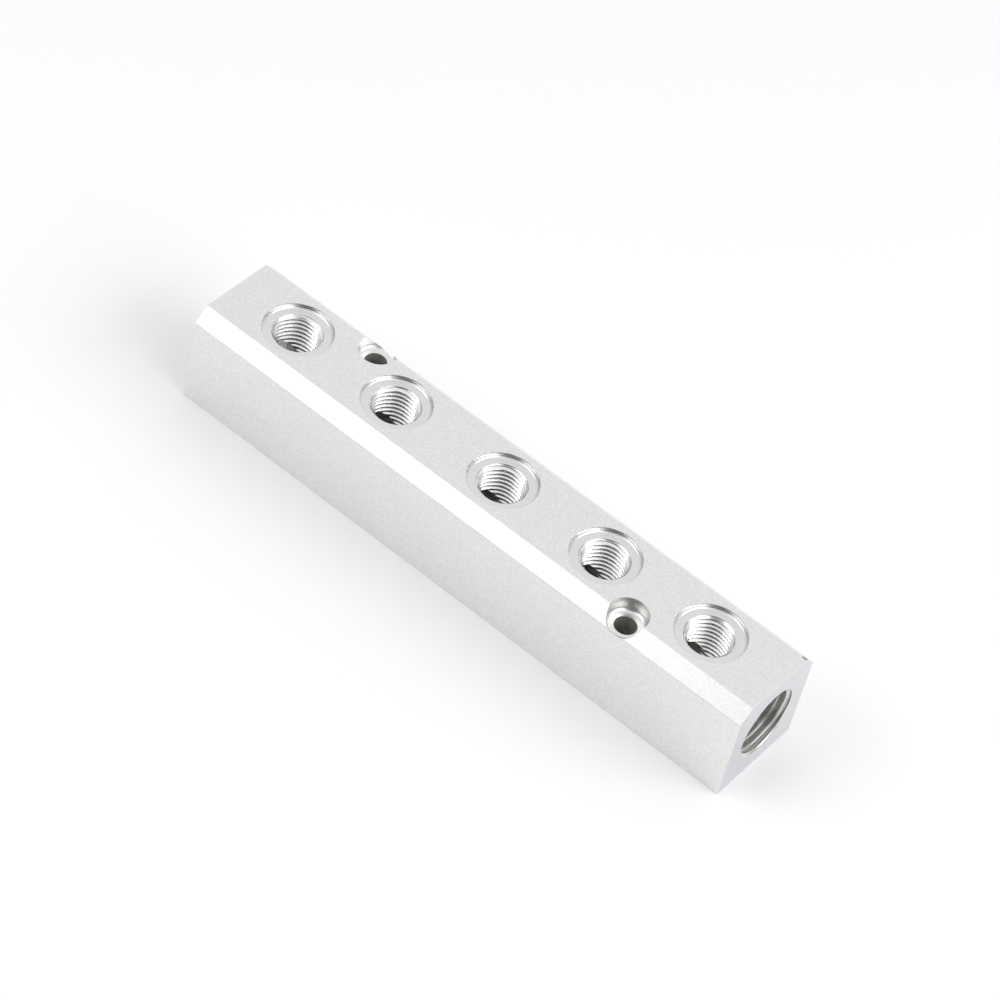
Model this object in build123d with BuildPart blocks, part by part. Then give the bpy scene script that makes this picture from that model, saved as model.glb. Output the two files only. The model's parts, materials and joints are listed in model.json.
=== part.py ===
"""Air manifold block: one drilled and tapped aluminium bar.

Millimetres. +X runs along the bar, +Z is up through the outlets, and the origin is at the
middle of the bottom face. The threads themselves aren't cut here: every tapped hole is the
plain drilled hole, with the true recess, lead-in and drill point around it.
"""

from build123d import *

import os
from math import radians, tan

# The bar
bar_width = 30.0
bar_height = 30.0
edge_chamfer = 3.8  # 45 degrees, along both top edges
corner_radius = 0.3  # the other long edges, as a drawn bar leaves them

# The outlets, a single row down the middle of the top face
first_outlet_from_end = 21.0
outlet_gaps = (33.0, 35.0, 33.0, 33.0)  # centre to centre, left to right; the second is longer
last_outlet_from_end = 21.5
outlet_drill_radius = 5.75  # tapping drill for a 1/4 inch pipe thread
outlet_mouth_radius = 6.7  # outer edge of the lead-in
outlet_lead_in = 0.95  # depth of the lead-in
outlet_overrun = 1.5  # how far past the middle of the passage the drill keeps its full width
recess_ring = 2.7  # from an outlet's mouth out to the rim of its recess
recess_depth = 1.2
recess_wall_slope = 0.35  # how far the recess's wall leans in on its way down
recess_foot_radius = 1.2  # rounding between that wall and the seat

# The passage through the bar and the two inlets that it opens into
passage_margin = 0.15  # how much narrower than an outlet's drill the passage is, on the radius
inlet_drill_radius = 9.1  # tapping drill for a 1/2 inch pipe thread
inlet_mouth_radius = 10.2
inlet_lead_in = 1.0
inlet_wall = 0.5  # metal between an inlet's drill point and the nearest outlet's drill
drill_point_angle = 118.0

# The mounting holes, one at each long edge, straight down through the bar
mount_from_end = 39.0
mount_from_side = 4.6
mount_hole_radius = 3.0
counterbore_radius = 5.25
counterbore_depth = 4.4
counterbore_floor_radius = 1.4  # rounding between the counterbore's wall and its floor

# What follows from them
bar_length = first_outlet_from_end + sum(outlet_gaps) + last_outlet_from_end
half_length = bar_length / 2
half_width = bar_width / 2
passage_height = bar_height / 2
passage_radius = outlet_drill_radius - passage_margin
outlet_stations = [
    first_outlet_from_end - half_length + sum(outlet_gaps[:count])
    for count in range(len(outlet_gaps) + 1)
]
recess_rim_radius = outlet_mouth_radius + recess_ring
recess_floor_radius = recess_rim_radius - recess_wall_slope
recess_floor_height = bar_height - recess_depth
drill_point_slope = tan(radians(drill_point_angle / 2))  # radius gained for each mm of depth
outlet_wall_foot = passage_height - outlet_overrun
outlet_point_height = outlet_wall_foot - outlet_drill_radius / drill_point_slope
inlet_point_length = (inlet_drill_radius - passage_radius) / drill_point_slope
nearest_outlet = min(first_outlet_from_end, last_outlet_from_end)
inlet_depth = nearest_outlet - outlet_drill_radius - inlet_wall - inlet_point_length
mount_station = half_length - mount_from_end
mount_offset = half_width - mount_from_side
counterbore_floor_height = bar_height - counterbore_depth

# One outlet as the tools leave it: a shallow recess with a leaning wall and a rounded foot, a
# flat seat, a lead-in and the tapping hole, whose drill point ends inside the passage
with BuildPart() as outlet_cut:
    with BuildSketch(Plane.XZ):
        with BuildLine():
            Polyline(
                (0, outlet_point_height),
                (outlet_drill_radius, outlet_wall_foot),
                (outlet_drill_radius, recess_floor_height - outlet_lead_in),
                (outlet_mouth_radius, recess_floor_height),
                (recess_floor_radius, recess_floor_height),
                (recess_rim_radius, bar_height),
                (0, bar_height),
                close=True,
            )
        outlet_profile = make_face()
        # in a sketch's own frame, Y is the way up
        recess_foot = outlet_profile.vertices().sort_by(Axis.X)[-2]
        fillet(recess_foot, recess_foot_radius)
    revolve(axis=Axis.Z)

# The whole way through the bar, end to end: lead-in, tapping hole, drill point, passage,
# and the same again in reverse
with BuildPart() as passage_cut:
    with BuildSketch(Plane.XZ) as passage_profile:
        with BuildLine():
            Polyline(
                (0, passage_height),
                (half_length, passage_height),
                (half_length, passage_height + inlet_mouth_radius),
                (half_length - inlet_lead_in, passage_height + inlet_drill_radius),
                (half_length - inlet_depth, passage_height + inlet_drill_radius),
                (half_length - inlet_depth - inlet_point_length, passage_height + passage_radius),
                (0, passage_height + passage_radius),
                close=True,
            )
        make_face()
        mirror(about=Plane.YZ)
    revolve(axis=Axis((0, 0, passage_height), (1, 0, 0)))

# One mounting hole: a counterbore with a rounded floor corner over a plain through hole
with BuildPart() as mount_cut:
    with BuildSketch(Plane.XZ):
        with BuildLine():
            Polyline(
                (0, 0),
                (mount_hole_radius, 0),
                (mount_hole_radius, counterbore_floor_height),
                (counterbore_radius, counterbore_floor_height),
                (counterbore_radius, bar_height),
                (0, bar_height),
                close=True,
            )
        mount_profile = make_face()
        floor_corner = mount_profile.vertices().group_by(Axis.X)[-1].sort_by(Axis.Y)[0]
        fillet(floor_corner, counterbore_floor_radius)
    revolve(axis=Axis.Z)

with BuildPart() as manifold_block:
    # The bar's section, with the two broad chamfers along the top
    with BuildSketch(Plane.YZ) as section:
        with Locations((0, passage_height)):
            Rectangle(bar_width, bar_height)
        chamfer(section.vertices().group_by(Axis.Y)[-1], edge_chamfer)
        fillet(section.vertices(), corner_radius)
    extrude(amount=half_length, both=True)

    add(passage_cut.part, mode=Mode.SUBTRACT)
    with Locations(*[(station, 0) for station in outlet_stations]):
        add(outlet_cut.part, mode=Mode.SUBTRACT)
    # The counterbores run out through the chamfers, on opposite edges
    with Locations((mount_station, -mount_offset), (-mount_station, mount_offset)):
        add(mount_cut.part, mode=Mode.SUBTRACT)

manifold_block.part.label = "manifold_block"

os.makedirs("parts", exist_ok=True)
export_step(manifold_block.part, "parts/manifold_block.step")
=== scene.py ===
# %% [markdown]
# # Air manifold block
#
# The object is one bar of aluminium: drawn, blasted and anodised, and then faced, drilled,
# counterbored and tapped. This notebook builds it the way a machine shop does. A blank comes
# first, then each tool cuts away what it cuts away on the real bar, down to the helix of every
# thread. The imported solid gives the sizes, and the finished piece takes its place.

import json
from math import atan2, ceil, cos, hypot, pi, radians, sin, tan, tau

import bpy
from mathutils import Matrix, Vector


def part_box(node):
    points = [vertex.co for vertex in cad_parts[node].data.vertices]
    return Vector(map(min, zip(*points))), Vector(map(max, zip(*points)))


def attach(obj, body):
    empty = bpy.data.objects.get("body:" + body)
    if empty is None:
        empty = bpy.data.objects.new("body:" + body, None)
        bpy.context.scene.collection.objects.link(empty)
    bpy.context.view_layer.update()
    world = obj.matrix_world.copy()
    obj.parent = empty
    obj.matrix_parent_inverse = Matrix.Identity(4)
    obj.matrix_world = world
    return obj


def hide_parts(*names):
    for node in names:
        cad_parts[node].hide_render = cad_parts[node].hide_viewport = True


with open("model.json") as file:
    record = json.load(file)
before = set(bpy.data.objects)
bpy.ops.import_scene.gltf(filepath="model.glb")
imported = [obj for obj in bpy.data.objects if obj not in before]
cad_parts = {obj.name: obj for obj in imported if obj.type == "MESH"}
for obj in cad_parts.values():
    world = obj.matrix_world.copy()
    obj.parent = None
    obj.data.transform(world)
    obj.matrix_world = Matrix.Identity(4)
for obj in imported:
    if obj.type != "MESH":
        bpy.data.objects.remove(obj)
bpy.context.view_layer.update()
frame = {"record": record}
mm = 0.001

# %% [markdown]
# ## Sizes
#
# The bar's own size is the frame's box. Each hole's place, direction, drill and length of wall
# come from the record's mounts, so a change of the solid moves the holes here too. What the
# record doesn't say, such as the depth of a recess, is named here once.

# %% Sizes
lowest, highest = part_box("manifold_block")
bar_length, bar_width, bar_height = highest - lowest
half_length = bar_length / 2
passage_height = bar_height / 2

mounts = frame["record"]["mounts"]
outlets = [mount for mount in mounts if mount["name"].startswith("outlet")]
inlets = [mount for mount in mounts if mount["name"].startswith("inlet")]
screw_holes = [mount for mount in mounts if mount["name"].startswith("mount_hole")]


def drill_and_wall(mount):
    """A hole's drill radius and the length of its drilled wall."""
    return mount["dims"]["r_mm"] * mm, mount["dims"]["length_mm"] * mm


outlet_drill, outlet_wall = drill_and_wall(outlets[0])
inlet_drill, inlet_wall = drill_and_wall(inlets[0])
screw_drill, screw_wall = drill_and_wall(screw_holes[0])

edge_chamfer = 3.8 * mm
edge_radius = 0.3 * mm
edge_break = 0.1 * mm  # what a file leaves round the faced ends

recess_radius = 9.4 * mm
recess_depth = 1.2 * mm
recess_wall_slope = 0.35 * mm  # how far the recess's wall leans in on its way down
recess_lean = atan2(recess_wall_slope, recess_depth)
recess_foot_radius = 1.2 * mm
outlet_mouth = 6.7 * mm
outlet_lead_in = 0.95 * mm

passage_radius = 5.6 * mm
inlet_mouth = 10.2 * mm
inlet_lead_in = 1.0 * mm
drill_point = radians(118)
chisel_edge = 0.4 * mm  # the blunt middle of a drill's point

counterbore_radius = 5.25 * mm
counterbore_depth = bar_height - screw_wall
counterbore_floor_radius = 1.4 * mm

print(len(outlets), "outlets,", len(inlets), "inlets,", len(screw_holes), "mounting holes")

# %% [markdown]
# ## Working by hand, in code
#
# Blender's operators act on whatever is selected, so each step starts by selecting only what
# it is meant for. These helpers do the three things that a hand does between operators: pick
# one piece, pick some of its edges or faces by where they lie, and finish a modifier.

# %% Helpers for selecting and finishing
def pick(piece):
    """Only this piece is selected, and it is the active one."""
    bpy.ops.object.select_all(action="DESELECT")
    piece.select_set(True)
    bpy.context.view_layer.objects.active = piece


def edit(piece, mode):
    """Into edit mode with nothing selected, in vertex, edge or face mode."""
    pick(piece)
    bpy.ops.object.mode_set(mode="EDIT")
    bpy.ops.mesh.select_mode(type=mode)
    bpy.ops.mesh.select_all(action="DESELECT")


def edit_edges(piece, wanted):
    """Into edit mode with the edges selected whose two ends pass the test."""
    edit(piece, "EDGE")
    bpy.ops.object.mode_set(mode="OBJECT")
    corners = piece.data.vertices
    for edge in piece.data.edges:
        edge.select = wanted(*(corners[end].co for end in edge.vertices))
    bpy.ops.object.mode_set(mode="EDIT")


def leave_edit():
    bpy.ops.object.mode_set(mode="OBJECT")


def finish_modifier(piece, kind, **settings):
    """Adds one modifier with these settings and applies it."""
    pick(piece)
    modifier = piece.modifiers.new(kind.lower(), kind)
    for name, value in settings.items():
        setattr(modifier, name, value)
    bpy.ops.object.modifier_apply(modifier=modifier.name)


def new_piece(name):
    """Names the primitive that was just added, with its place moved into its mesh."""
    piece = bpy.context.object
    piece.name = piece.data.name = name
    bpy.ops.object.transform_apply(location=True, rotation=True, scale=True)
    return piece


# %% [markdown]
# ## Colours and nodes
#
# Colours are written as sRGB hex, as a colour picker shows them, and the shader wants them
# linear. One function turns them, and one adds a node with its settings and its links. Blender's
# Mix node has its two colours at the inputs 6 and 7 and the mixed colour at the output 2.

# %% Helpers for materials
def linear(hex_colour):
    """An sRGB hex colour as the linear RGBA that a shader takes."""
    channels = [int(hex_colour[place:place + 2], 16) / 255 for place in (1, 3, 5)]
    return (*(c / 12.92 if c <= 0.04045 else ((c + 0.055) / 1.055) ** 2.4 for c in channels), 1)


def add_node(tree, kind, settings=None, links=None):
    """Adds a node. A name that is a socket gets its value there, and any other is a setting."""
    node = tree.nodes.new(kind)
    for name, value in (settings or {}).items():
        if isinstance(name, int) or name in node.inputs:
            node.inputs[name].default_value = value
        else:
            setattr(node, name, value)
    for name, source in (links or {}).items():
        tree.links.new(source, node.inputs[name])
    return node


def new_material(name, **shader):
    """An empty material with one Principled shader, its tree and that shader."""
    material = bpy.data.materials.new(name)
    material.use_nodes = True
    tree = material.node_tree
    tree.nodes.clear()
    surface = add_node(tree, "ShaderNodeBsdfPrincipled", shader)
    add_node(tree, "ShaderNodeOutputMaterial", links={"Surface": surface.outputs["BSDF"]})
    return material, tree, surface


first_colour, second_colour, mixed_colour = 6, 7, 2
noise_low, noise_high = 0.3, 0.7  # nearly all of a noise texture lies between these


def blend(tree, first, second, factor):
    """From the first colour to the second, by a factor. A colour may be another node's output."""
    mix = add_node(tree, "ShaderNodeMix", {"data_type": "RGBA"}, {0: factor})
    for place, colour in ((first_colour, first), (second_colour, second)):
        if isinstance(colour, tuple):
            mix.inputs[place].default_value = colour
        else:
            tree.links.new(colour, mix.inputs[place])
    return mix.outputs[mixed_colour]


def step_between(tree, value, start, end):
    """Rises smoothly from nought at the start to one at the end."""
    step = add_node(
        tree,
        "ShaderNodeMapRange",
        {"interpolation_type": "SMOOTHSTEP", "From Min": start, "From Max": end},
        {"Value": value},
    )
    return step.outputs["Result"]


# %% [markdown]
# ## Blasted and anodised aluminium
#
# The bar was drawn, blasted with fine beads and clear anodised before it was drilled. The
# beads leave dimples about a quarter of a millimetre across. Here they are a little coarser, so
# that a dimple is wider than a pixel. The metal shines softly, with a fine grain and no clear
# reflection. It is still bare metal to the eye: metallic, with the rough lobe that the dimples
# give. The grain is the same noise twice, as height and as the slight difference in how much
# light a dimple sends back. A few dark specks are pits in the metal under the anodising.

# %% Blasted and anodised aluminium
bead_dimple = 0.45 * mm
dimple_depth = 0.02 * mm
blasted, tree, shader = new_material(
    "blasted_anodised_aluminium", Metallic=1.0, Roughness=0.42
)
place = add_node(tree, "ShaderNodeTexCoord")
dimples = add_node(
    tree,
    "ShaderNodeTexNoise",
    {"Scale": 1 / bead_dimple, "Detail": 2.0, "Roughness": 0.6},
    {"Vector": place.outputs["Object"]},
)
grain = add_node(
    tree,
    "ShaderNodeBump",
    {"Strength": 0.4, "Distance": dimple_depth},
    {"Height": dimples.outputs["Fac"]},
)
tree.links.new(grain.outputs["Normal"], shader.inputs["Normal"])
bright_dimple = step_between(tree, dimples.outputs["Fac"], noise_low, noise_high)
metal_colour = blend(tree, linear("#E5E5E4"), linear("#F3F3F1"), bright_dimple)
pit_colour = linear("#6E6E6A")
pit_radius = 0.16 * mm
pits_mm = ((81.6, -9.5, 30.0), (36.9, -15.0, 20.0), (84.3, -15.0, 19.5), (79.0, -15.0, 8.7))
for pit in pits_mm:
    distance = add_node(
        tree,
        "ShaderNodeVectorMath",
        {"operation": "DISTANCE", 1: Vector(pit) * mm},
        {0: place.outputs["Object"]},
    )
    clean = step_between(tree, distance.outputs["Value"], pit_radius / 2, pit_radius)
    metal_colour = blend(tree, pit_colour, metal_colour, clean)
tree.links.new(metal_colour, shader.inputs["Base Color"])
print("material:", blasted.name)

# %% [markdown]
# ## Tool marks
#
# Everything that was cut after anodising is bare metal, and each tool leaves its marks round
# the hole's axis. They follow a map that every turned cutter carries: each corner's distance
# from the tool's axis and its depth, in millimetres. A pattern over that map can only be rings.
# Real marks lie about a tenth of a millimetre apart, which is too fine to show, so they are
# drawn two to five times as coarse.

# %% Tool marks
ring_map = "turning"


def ringed_metal(name, colour, metallic, spacing, depth, smoothest, roughest):
    """Bare metal with tool marks round the axis, as bump and as a change of roughness."""
    material, tree, shader = new_material(
        name, **{"Base Color": linear(colour), "Metallic": metallic}
    )
    turning = add_node(tree, "ShaderNodeUVMap", {"uv_map": ring_map})
    rings = add_node(
        tree,
        "ShaderNodeTexNoise",
        {"noise_dimensions": "2D", "Scale": mm / spacing, "Detail": 1.0},
        {"Vector": turning.outputs["UV"]},
    )
    bump = add_node(
        tree,
        "ShaderNodeBump",
        {"Strength": 1.0, "Distance": depth},
        {"Height": rings.outputs["Fac"]},
    )
    tree.links.new(bump.outputs["Normal"], shader.inputs["Normal"])
    finish = add_node(
        tree,
        "ShaderNodeMapRange",
        {
            "From Min": noise_low,
            "From Max": noise_high,
            "To Min": smoothest,
            "To Max": roughest,
        },
        {"Value": rings.outputs["Fac"]},
    )
    tree.links.new(finish.outputs["Result"], shader.inputs["Roughness"])
    return material


# %% [markdown]
# ## Bored, milled, drilled and tapped aluminium
#
# Recesses, lead-ins and the big inlet threads have the rings of a turning tool, deep enough to
# break a reflection into fine streaks. The counterbores were plunged with an end mill, which
# chatters a little and leaves them duller. The deep drilled walls are coarser and torn, so they
# scatter light instead of mirroring it. The tap leaves the smoothest metal of all, on the
# thread's crests as well as in its groove, and the thread flashes white and black.

# %% Bored, milled, drilled and tapped aluminium
# Bored aluminium: cut on the turn, and its rings break a reflection into fine streaks
bored = ringed_metal(
    "bored_aluminium",
    "#E6E6E4",
    metallic=1.0,
    spacing=0.35 * mm,
    depth=0.1 * mm,
    smoothest=0.24,
    roughest=0.36,
)
# Milled aluminium: plunged with an end mill, with faint rings and a duller shine
milled = ringed_metal(
    "milled_aluminium",
    "#ECECEA",
    metallic=1.0,
    spacing=0.35 * mm,
    depth=0.012 * mm,
    smoothest=0.3,
    roughest=0.42,
)
# Drilled aluminium: torn a little by the drill, so it scatters light and looks greyer
drilled = ringed_metal(
    "drilled_aluminium",
    "#DADAD6",
    metallic=0.8,  # swarf and cutting oil left in the tears take some of the shine
    spacing=0.5 * mm,
    depth=0.03 * mm,
    smoothest=0.35,
    roughest=0.5,
)
# Tapped aluminium: rubbed smooth by the tap, so it flashes white beside black
tapped = ringed_metal(
    "tapped_aluminium",
    "#F3F3F2",
    metallic=1.0,
    spacing=0.2 * mm,
    depth=0.004 * mm,
    smoothest=0.12,
    roughest=0.2,
)
print("materials:", *(metal.name for metal in (bored, milled, drilled, tapped)))

# %% [markdown]
# ## Faced aluminium
#
# The ends were faced with a sharp cutter, so they are smoother than the blasted skin. Their colour
# is a little cooler and darker: a painted reflection of the shaded floor that the ends face. The
# cutter's marks run up and down: a noise drawn out along Z, which barely changes the brightness.
# The real marks are too fine to show, and these are coarser.

# %% Faced aluminium
mark_width = 0.33 * mm
mark_length = 6.5 * mm
faced, tree, shader = new_material("faced_aluminium", Metallic=1.0, Roughness=0.3)
place = add_node(tree, "ShaderNodeTexCoord")
stretch = add_node(
    tree,
    "ShaderNodeMapping",
    {"Scale": (1 / mark_width, 1 / mark_width, 1 / mark_length)},
    {"Vector": place.outputs["Object"]},
)
feed_marks = add_node(
    tree,
    "ShaderNodeTexNoise",
    {"Scale": 1.0, "Detail": 2.0},
    {"Vector": stretch.outputs["Vector"]},
)
bright_mark = step_between(tree, feed_marks.outputs["Fac"], noise_low, noise_high)
# The ends' cool, darker tint is a painted reflection of the shaded floor that they face
faced_colour_and_painted_reflection = blend(tree, linear("#DADCDF"), linear("#E0E1E4"), bright_mark)
tree.links.new(faced_colour_and_painted_reflection, shader.inputs["Base Color"])
print("material:", faced.name)

# %% [markdown]
# ## Bruised aluminium
#
# Where something has struck the bar, the metal is torn: rough, dull, and too coarse to mirror
# anything, and coloured dark grey. The bruise is under two millimetres long, so bump is enough for
# its tears.

# %% Bruised aluminium
tear = 0.33 * mm
tear_depth = 0.1 * mm
bruised, tree, shader = new_material(
    "bruised_aluminium", **{"Base Color": linear("#8A8A86"), "Metallic": 0.8, "Roughness": 0.5}
)
place = add_node(tree, "ShaderNodeTexCoord")
tears = add_node(
    tree,
    "ShaderNodeTexNoise",
    {"Scale": 1 / tear, "Detail": 3.0},
    {"Vector": place.outputs["Object"]},
)
torn = add_node(
    tree,
    "ShaderNodeBump",
    {"Strength": 1.0, "Distance": tear_depth},
    {"Height": tears.outputs["Fac"]},
)
tree.links.new(torn.outputs["Normal"], shader.inputs["Normal"])
print("material:", bruised.name)

# %% [markdown]
# ## The blank
#
# A drawn bar has the same section all along, so the blank is a cube at the bar's size, and
# only its edges are left to shape.

# %% The blank
bpy.ops.mesh.primitive_cube_add(
    size=1,
    location=(0, 0, bar_height / 2),
    scale=(bar_length, bar_width, bar_height),
)
block = new_piece("manifold_bar")
print("blank:", len(block.data.polygons), "faces")

# %% [markdown]
# ## The drawn section
#
# The two top edges get their broad chamfers, then all long edges the small radius that a
# drawing die leaves. The ends are faced afterwards, so their edges are only broken with a file.
# Each edge is picked by where its two ends lie. The chamfers come first, because they make the
# edges that are rounded next.

# %% The drawn section
close = 0.01 * mm  # two places nearer than this are the same place
chamfer_turn = radians(45)  # how far an edge beside a chamfer turns
chamfer_edge_steps = 3
corner_steps = 5
break_steps = 2


def runs_lengthwise(start, end):
    """An edge as long as the bar. This test and those below tell an edge by its two ends."""
    return abs(abs(start.x - end.x) - bar_length) < close


def along_top(start, end):
    return runs_lengthwise(start, end) and min(start.z, end.z) > bar_height - close


def beside_chamfer(start, end):
    return runs_lengthwise(start, end) and min(start.z, end.z) > bar_height / 2


def along_bottom(start, end):
    return runs_lengthwise(start, end) and max(start.z, end.z) < close


def around_an_end(start, end):
    return min(abs(start.x), abs(end.x)) > half_length - close and start.x * end.x > 0


edit_edges(block, along_top)
bpy.ops.mesh.bevel(offset=edge_chamfer, segments=1, affect="EDGES")
leave_edit()
edit_edges(block, beside_chamfer)
bpy.ops.mesh.bevel(
    offset=edge_radius * tan(chamfer_turn / 2), segments=chamfer_edge_steps, affect="EDGES"
)
leave_edit()
edit_edges(block, along_bottom)
bpy.ops.mesh.bevel(offset=edge_radius, segments=corner_steps, affect="EDGES")
leave_edit()
edit_edges(block, around_an_end)
bpy.ops.mesh.bevel(offset=edge_break, segments=break_steps, affect="EDGES")
leave_edit()
print("drawn section:", len(block.data.polygons), "faces, in mm", *(block.dimensions / mm))

# %% [markdown]
# ## Skin and ends
#
# The skin is blasted and the ends are faced, and a face's normal tells which of them it is. The
# bar gets a ring map by the same name as the cutters' maps, so that what a cut leaves in the bar
# keeps its rings.

# %% Skin and ends
end_facing = 0.5  # a face whose normal has more than this along X was faced with the end
block.data.materials.append(blasted)
block.data.materials.append(faced)
block.data.uv_layers.new(name=ring_map)
for face in block.data.polygons:
    face.material_index = int(abs(face.normal.x) > end_facing)
print("finishes:", *(metal.name for metal in block.data.materials))

# %% [markdown]
# ## Turned cutters
#
# Every drill, counterbore and recess tool is a turned shape. Each is made as on a lathe: one
# circle, extruded ring by ring and resized to the next radius, and closed at both ends. The
# rings are given from the mouth inwards, as depth and radius. The faces take the finish of the
# tool that reaches down to them, and the bar keeps each cut's finish and its ring map.

# %% Turned cutters
steps_round = 96
foot_steps = 8


def mark_rings(piece, with_depth=True):
    """Each corner's distance from the axis and its depth, in millimetres, as UV.

    Without the depth, the marks run along a thread's helix instead of crossing it.
    """
    layer = piece.data.uv_layers.get(ring_map) or piece.data.uv_layers.new(name=ring_map)
    for corner, spot in zip(piece.data.loops, layer.data):
        x, y, z = piece.data.vertices[corner.vertex_index].co / mm
        spot.uv = (hypot(x, y), -z if with_depth else 0)


def turned_cutter(name, rings, bored_to, tapped_to=0, mouth_finish=bored):
    """A closed turned solid, its mouth at the origin and its depth along -Z."""
    (depth, radius), *rest = rings
    bpy.ops.mesh.primitive_circle_add(
        vertices=steps_round, radius=radius, fill_type="NGON", location=(0, 0, -depth)
    )
    cutter = new_piece(name)
    edit(cutter, "FACE")
    bpy.ops.mesh.select_all(action="SELECT")
    for next_depth, next_radius in rest:
        bpy.ops.mesh.extrude_region_move(
            TRANSFORM_OT_translate={"value": (0, 0, depth - next_depth)}
        )
        ratio = next_radius / radius
        bpy.ops.transform.resize(value=(ratio, ratio, 1), center_override=(0, 0, -next_depth))
        depth, radius = next_depth, next_radius
    bpy.ops.mesh.select_all(action="SELECT")
    bpy.ops.mesh.normals_make_consistent(inside=False)
    leave_edit()
    for finish in (mouth_finish, tapped, drilled):
        cutter.data.materials.append(finish)
    for face in cutter.data.polygons:
        reached = -face.center.z
        face.material_index = int(reached > bored_to) + int(reached > max(bored_to, tapped_to))
    mark_rings(cutter)
    return cutter


def rounded_foot(depth, wall_radius, foot_radius, lean=0):
    """Rings round the corner between a floor and a wall that starts at this radius and leans in."""
    to_centre = depth - foot_radius * (1 - sin(lean))
    centre = wall_radius - to_centre * tan(lean) - foot_radius * cos(lean)
    turns = [lean + (pi / 2 - lean) * step / foot_steps for step in range(foot_steps + 1)]
    return [(depth - foot_radius * (1 - sin(a)), centre + foot_radius * cos(a)) for a in turns]


# %% [markdown]
# ## Cutting
#
# A cutter is made upright with its mouth at the origin, where its rings are easy to give, and is
# then turned and moved to its hole. The Exact solver keeps the bar closed where cuts cross, and
# each cut face brings its own finish along.

# %% Cutting
def set_at(cutter, mouth, outwards):
    """Turns the cutter's mouth to face outwards and moves it to its place, in its mesh."""
    turn = Vector((0, 0, 1)).rotation_difference(Vector(outwards)).to_matrix().to_4x4()
    cutter.data.transform(Matrix.Translation(Vector(mouth)) @ turn)


def cut_with(cutter):
    """Cuts the bar with the cutter, which is used up. Cut faces take the cutter's metal."""
    finish_modifier(
        block,
        "BOOLEAN",
        object=cutter,
        operation="DIFFERENCE",
        solver="EXACT",
        material_mode="TRANSFER",
    )
    bpy.data.objects.remove(cutter)


# %% [markdown]
# ## The passage and the inlets
#
# Each inlet is drilled from its end to the tapping size, with a lead-in for the fitting. Its
# drill point leads into the narrower passage, and the two passages meet in the middle.

# %% The passage and the inlets
overrun = 1.0 * mm  # how far a cutter stands out of the metal that it cuts
point_slope = tan(drill_point / 2)  # radius gained for each bit of depth
inlet_depth = inlet_lead_in + inlet_wall
point_length = (inlet_drill - passage_radius) / point_slope
lead_in_slope = (inlet_mouth - inlet_drill) / inlet_lead_in
for inlet in inlets:
    bore = turned_cutter(
        "inlet_drill",
        [
            (-overrun, inlet_mouth + overrun * lead_in_slope),
            (inlet_lead_in, inlet_drill),
            (inlet_depth, inlet_drill),
            (inlet_depth + point_length, passage_radius),
            (half_length + overrun, passage_radius),
        ],
        bored_to=inlet_lead_in,
        tapped_to=inlet_depth,
    )
    set_at(bore, (half_length * inlet["axis"][0], 0, passage_height), inlet["axis"])
    cut_with(bore)
print("after the inlets:", len(block.data.polygons), "faces")

# %% [markdown]
# ## The outlets
#
# One tool cuts the recess: a leaning wall with a rounded foot, and the flat seat where the
# fitting's seal lies. It mirrors the room from the horizon up, like the inside of a dish.
# The drill goes on through the lead-in and a little past the middle of the passage, so the
# way to the passage is fully open and only the drill's point shows inside it.

# %% The outlets
outlet_foot = recess_depth + outlet_lead_in + outlet_wall
for outlet in outlets:
    bore = turned_cutter(
        "outlet_drill",
        [
            (-overrun, recess_radius + overrun * tan(recess_lean)),
            *rounded_foot(recess_depth, recess_radius, recess_foot_radius, recess_lean),
            (recess_depth, outlet_mouth),
            (recess_depth + outlet_lead_in, outlet_drill),
            (outlet_foot, outlet_drill),
            (outlet_foot + (outlet_drill - chisel_edge) / point_slope, chisel_edge),
        ],
        bored_to=recess_depth + outlet_lead_in,
        tapped_to=outlet_foot,
    )
    set_at(bore, (outlet["pos_m"][0], 0, bar_height), outlet["axis"])
    cut_with(bore)
print("after the outlets:", len(block.data.polygons), "faces")

# %% [markdown]
# ## The mounting holes
#
# Two screws hold the bar down. Each head sits in a counterbore that runs out through the
# chamfer, so the counterbore is open at the side. The tool's corner is rounded, and its floor
# curves up into the wall.

# %% The mounting holes
for hole in screw_holes:
    bore = turned_cutter(
        "screw_hole_drill",
        [
            (-overrun, counterbore_radius),
            *rounded_foot(counterbore_depth, counterbore_radius, counterbore_floor_radius),
            (counterbore_depth, screw_drill),
            (bar_height + overrun, screw_drill),
        ],
        bored_to=counterbore_depth,
        mouth_finish=milled,
    )
    set_at(bore, (hole["pos_m"][0], hole["pos_m"][1], bar_height), hole["axis"])
    cut_with(bore)
print("after the mounting holes:", len(block.data.polygons), "faces")

# %% [markdown]
# ## A thread's groove, cut across
#
# A pipe thread is a V groove wound into a helix, so the cutter here is the groove itself. Its
# section is a narrow strip just inside the drilled wall and a V that reaches out to the thread's
# root. A tap rounds the crests that it leaves, and those round crests flash white beside the
# dark lines, so the corners between strip and V are rounded too. The section is a little
# narrower than the pitch. Its turns never touch each other, and the cut stays clean.

# %% A thread's groove, cut across
flank = radians(30)  # each side of the V leans this much from square to the axis
thread_depth = 0.66  # of the pitch
root_flat = 0.1 * mm
crest_flat = 0.02 * mm  # what is left of the drilled wall between two turns
crest_steps = 4
strip = 0.1 * mm  # how far the section stands inside the drilled wall
skim = 0.01 * mm  # how far it goes outside that wall, so that no two faces coincide


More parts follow.
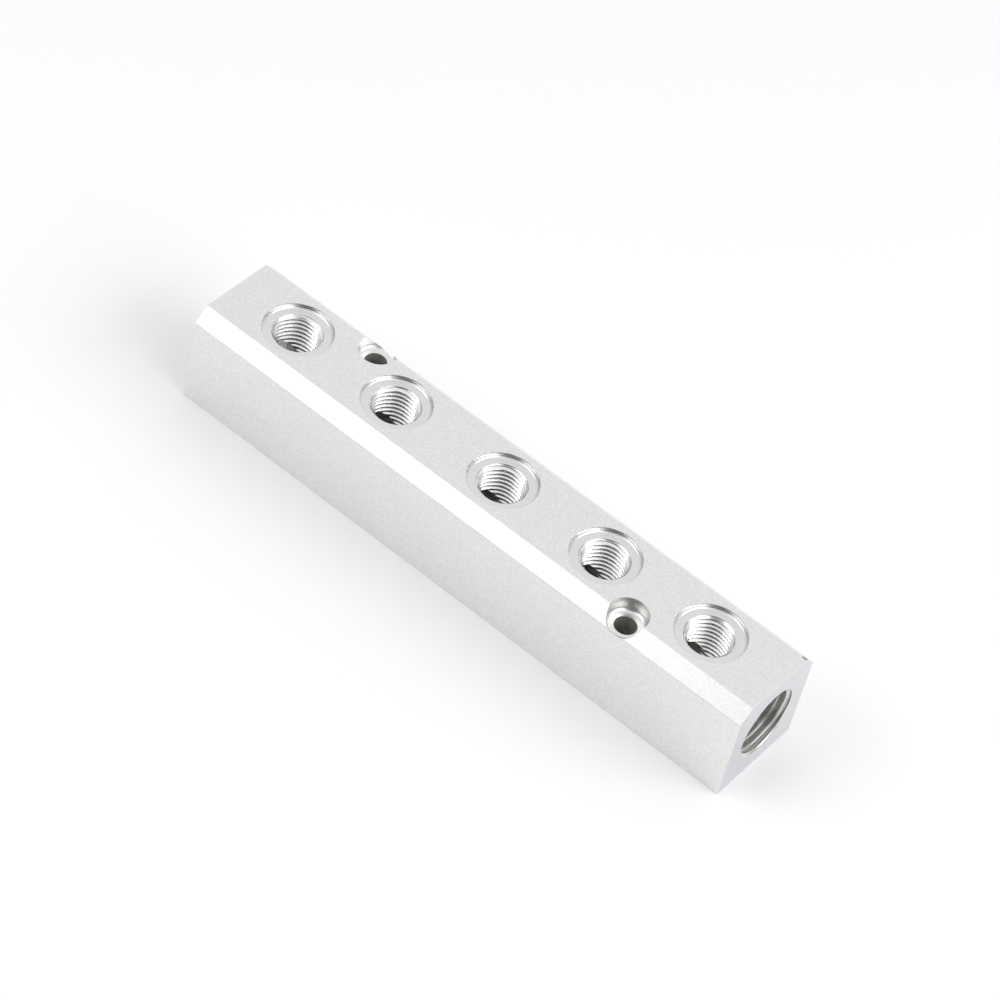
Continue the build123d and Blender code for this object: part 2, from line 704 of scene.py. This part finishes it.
def thread_section(name, pitch, drill, height):
    """The groove cut across: one flat face in the XZ plane, centred on this height."""
    wall = drill + skim
    root = drill + thread_depth * pitch
    mouth = pitch - crest_flat
    foot = root_flat + 2 * (root - wall) * tan(flank)
    bpy.ops.mesh.primitive_plane_add(
        size=1,
        location=(wall - strip / 2, 0, height),
        rotation=(pi / 2, 0, 0),
    )
    bpy.context.object.scale = (strip, mouth, 1)
    section = new_piece(name)

    def on_outer_edge(start, end):
        return min(start.x, end.x) > wall - close / 2

    def on_middle_part(start, end):
        return on_outer_edge(start, end) and abs(start.z + end.z - 2 * height) < close

    # The strip's outer edge in three parts, and the V drawn out of the middle one
    cuts = 2
    edit_edges(section, on_outer_edge)
    bpy.ops.mesh.subdivide(number_cuts=cuts)
    leave_edit()
    edit_edges(section, on_middle_part)
    widen = foot * (cuts + 1) / mouth
    bpy.ops.transform.resize(value=(1, 1, widen), center_override=(wall, 0, height))
    bpy.ops.mesh.extrude_region_move(TRANSFORM_OT_translate={"value": (root - wall, 0, 0)})
    bpy.ops.transform.resize(value=(1, 1, root_flat / foot), center_override=(root, 0, height))
    bpy.ops.mesh.select_all(action="SELECT")
    bpy.ops.mesh.dissolve_faces()
    leave_edit()

    # The two corners that become the thread's crests, rounded nearly up to the strip's ends
    edit(section, "VERT")
    bpy.ops.object.mode_set(mode="OBJECT")
    for corner in section.data.vertices:
        on_wall = abs(corner.co.x - wall) < close / 2
        corner.select = on_wall and abs(corner.co.z - height) < mouth / 2 - close
    bpy.ops.object.mode_set(mode="EDIT")
    bpy.ops.mesh.bevel(offset=(mouth - foot) / 2 - close, segments=crest_steps, affect="VERTICES")
    leave_edit()
    return section


# %% [markdown]
# ## The groove, wound up
#
# The Screw modifier winds the section round the hole's axis and up by one pitch in each turn.
# The two open ends are filled, so the groove is a closed solid that can cut. A pipe thread's
# taper is under half a millimetre over this depth, so the groove is wound straight and all its
# crests come out alike.

# %% The groove, wound up
def thread_cutter(name, pitch, drill, start, end, finish):
    """A closed right-handed helical groove from the depth end up to the depth start."""
    groove = thread_section(name, pitch, drill, -end)
    finish_modifier(
        groove,
        "SCREW",
        axis="Z",
        angle=tau,
        screw_offset=pitch,
        iterations=ceil((end - start) / pitch),
        steps=steps_round,
        render_steps=steps_round,
        use_merge_vertices=False,
    )
    edit(groove, "EDGE")
    bpy.ops.mesh.select_non_manifold()
    bpy.ops.mesh.fill_holes(sides=0)
    bpy.ops.mesh.select_all(action="SELECT")
    bpy.ops.mesh.normals_make_consistent(inside=False)
    leave_edit()
    groove.data.materials.append(finish)
    mark_rings(groove, with_depth=False)
    return groove


# %% [markdown]
# ## The threads
#
# Each groove goes right up through the lead-in, where the tap starts, and ends a little above
# the foot of the drilled wall, as far as the tap reaches. A tap starts at whatever angle it
# meets the hole, so the threads don't line up from hole to hole.

# %% The threads
inch = 25.4 * mm
outlet_pitch = inch / 18
inlet_pitch = inch / 14
runout = 1.0 * mm  # how far above the foot of the drilled wall the lowest turn ends
outlet_tap_turns = (0.75, 0.54, 0.35, 0.35, 0.0)  # of a turn: where each tap has started
inlet_tap_turn = 0.85

for outlet, tap_turn in zip(outlets, outlet_tap_turns):
    groove = thread_cutter(
        "outlet_tap",
        outlet_pitch,
        outlet_drill,
        start=recess_depth - overrun,
        end=outlet_foot - runout - tap_turn * outlet_pitch,
        finish=tapped,
    )
    set_at(groove, (outlet["pos_m"][0], 0, bar_height), outlet["axis"])
    cut_with(groove)
for inlet in inlets:
    groove = thread_cutter(
        "inlet_tap",
        inlet_pitch,
        inlet_drill,
        start=-overrun,
        end=inlet_depth - runout - inlet_tap_turn * inlet_pitch,
        finish=bored,
    )
    set_at(groove, (half_length * inlet["axis"][0], 0, passage_height), inlet["axis"])
    cut_with(groove)
print("after the threads:", len(block.data.polygons), "faces")

# %% [markdown]
# ## The nick
#
# Something hard has struck the far top edge just before the right end, and left a small torn
# dent. A flattened ball cuts it, with its own dull metal.

# %% The nick
nick_size = Vector((1.7, 0.9, 1.1)) * mm
nick_place = Vector((half_length - nick_size.x / 2, bar_width / 2 - edge_chamfer, bar_height))
nick_steps = 20
unit_ball = 0.5  # the radius of a ball one across, which is then scaled to the nick's size
bpy.ops.mesh.primitive_uv_sphere_add(
    segments=nick_steps, ring_count=nick_steps // 2, radius=unit_ball, location=nick_place
)
bpy.context.object.scale = nick_size
nick = new_piece("nick")
nick.data.materials.append(bruised)
cut_with(nick)
print("after the nick:", len(block.data.polygons), "faces")

# %% [markdown]
# ## Shading
#
# Turned walls and rounded edges are smooth to the eye, and the edges between two cuts are
# sharp. An angle tells them apart, and weighted normals keep the flat faces flat up to their
# rounded edges.

# %% Shading
smooth_up_to = radians(20)
pick(block)
bpy.ops.object.shade_smooth_by_angle(angle=smooth_up_to)
finish_modifier(block, "WEIGHTED_NORMAL", keep_sharp=True)
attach(block, "root")
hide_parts("manifold_block")
print("shaded:", block.name, "with", len(block.data.materials), "finishes")

# %% [markdown]
# ## The floor
#
# A matt white board, so the bar's own soft shadow is all that shows on it.

# %% Floor
floor_material, tree, shader = new_material(
    "matt_white_board",
    **{"Base Color": linear("#FAFAFA"), "Roughness": 0.9},
)
floor_size = 12  # metres, so its edge is far outside the picture
bpy.ops.mesh.primitive_plane_add(size=floor_size)
floor = new_piece("floor")
floor.data.materials.append(floor_material)
print("floor:", floor_material.name)

# %% [markdown]
# ## The light tent
#
# The bar stands in a white light tent. Metal shows what is around it, so what the tent looks
# like matters more than how much light there is. Its cloth darkens down to the horizon, but for
# the back wall, and it is open towards the front. The dark room there draws the dark lines in
# the threads and on the far wall of each recess. The camera is a dark spot of its own, and the
# lead-ins' far sides show it, because they face it.

# %% The light tent
tent_white = linear("#F2F2F3")
tent_foot_grey = linear("#6C6C6C")
dark_room = linear("#303030")
tent_foot, tent_side = radians(10), radians(28)  # grey below the one, white above the other

# How far round each part of the tent reaches: whole inside the one, nothing beyond the other
back_wall_half_angles = radians(30), radians(55)
opening_half_angles = radians(30), radians(52)
camera_half_angles = radians(9), radians(17)


def pointing(azimuth, elevation):
    """The direction with this azimuth from +X and this elevation, both in degrees."""
    turn, rise = radians(azimuth), radians(elevation)
    return Vector((cos(rise) * cos(turn), cos(rise) * sin(turn), sin(rise)))


towards_back_wall = pointing(azimuth=118, elevation=8)
towards_opening = pointing(azimuth=288, elevation=4)
towards_camera = pointing(azimuth=298.49, elevation=46.57)
world = bpy.data.worlds.new("light_tent")
bpy.context.scene.world = world
world.use_nodes = True
tree = world.node_tree
tree.nodes.clear()
direction = add_node(tree, "ShaderNodeTexCoord").outputs["Generated"]
rise = add_node(tree, "ShaderNodeSeparateXYZ", links={"Vector": direction}).outputs["Z"]
above_foot = step_between(tree, rise, sin(tent_foot), sin(tent_side))
surroundings = blend(tree, tent_foot_grey, tent_white, above_foot)
tent_parts = (
    (towards_back_wall, back_wall_half_angles, tent_white),
    (towards_opening, opening_half_angles, dark_room),
    (towards_camera, camera_half_angles, dark_room),
)
for towards, (inner, outer), shade in tent_parts:
    nearness = add_node(
        tree,
        "ShaderNodeVectorMath",
        {"operation": "DOT_PRODUCT", 1: towards},
        {0: direction},
    )
    inside = step_between(tree, nearness.outputs["Value"], cos(outer), cos(inner))
    surroundings = blend(tree, surroundings, shade, inside)
glow = add_node(tree, "ShaderNodeBackground", {"Strength": 1.0}, {"Color": surroundings})
add_node(tree, "ShaderNodeOutputWorld", links={"Surface": glow.outputs["Background"]})
print("tent:", world.name, "in", len(tent_parts) + 1, "parts")

# %% [markdown]
# ## The lamps
#
# One broad soft lamp stands at the front left and another at the right. They whiten the chamfer
# and the sides of every recess. A lamp's power follows from its size and from how bright its
# face should be, so it can be resized and its reflection stays as bright.

# %% The lamps
def softbox(name, towards, distance, width, height, radiance):
    """A soft lamp that looks back at the bar, as bright to the eye as its radiance."""
    bpy.ops.object.light_add(type="AREA")
    lamp = bpy.context.object
    lamp.name = name
    lamp.data.shape = "RECTANGLE"
    lamp.data.size = width
    lamp.data.size_y = height
    lamp.data.energy = radiance * width * height * pi
    lamp.location = towards * distance
    lamp.rotation_euler = towards.to_track_quat("Z", "Y").to_euler()
    print("lamp:", name, round(lamp.data.energy, 2), "W")


towards_front_left = pointing(azimuth=229, elevation=36)
towards_right = pointing(azimuth=5, elevation=35)
softbox("front_left", towards_front_left, distance=1.2, width=1.0, height=0.65, radiance=1.6)
softbox("right", towards_right, distance=1.2, width=1.4, height=0.65, radiance=2.3)

# %% [markdown]
# ## The camera
#
# A long lens from about a metre away, above the bar's right-hand end and rolled a little, so
# the bar lies across the picture from its upper left to its lower right.

# %% Camera
camera_roll = radians(14.86)
camera_distance = 1.0058  # metres
aim = Vector((-2.4, 6.8, 15.0)) * mm
lens_mm = 144.33
sensor_mm = 36.0
farthest = 100  # metres

bpy.ops.object.camera_add()
camera = bpy.context.object
level = Vector((0, 0, 1)).cross(towards_camera).normalized()
upright = towards_camera.cross(level)
right = level * cos(camera_roll) + upright * sin(camera_roll)
up = towards_camera.cross(right)
stand = Matrix((right, up, towards_camera)).transposed().to_4x4()
camera.matrix_world = Matrix.Translation(aim + camera_distance * towards_camera) @ stand
camera.data.lens = lens_mm
camera.data.sensor_width = sensor_mm
camera.data.clip_end = farthest
bpy.context.scene.camera = camera
bpy.context.scene.view_settings.view_transform = "Standard"
print("camera:", lens_mm, "mm lens,", camera_distance, "m from the bar")

# %% [markdown]
# ## Finish
#
# The finished bar's triangles are counted.

# %% Finish
print("triangles:", sum(len(face.vertices) - 2 for face in block.data.polygons))
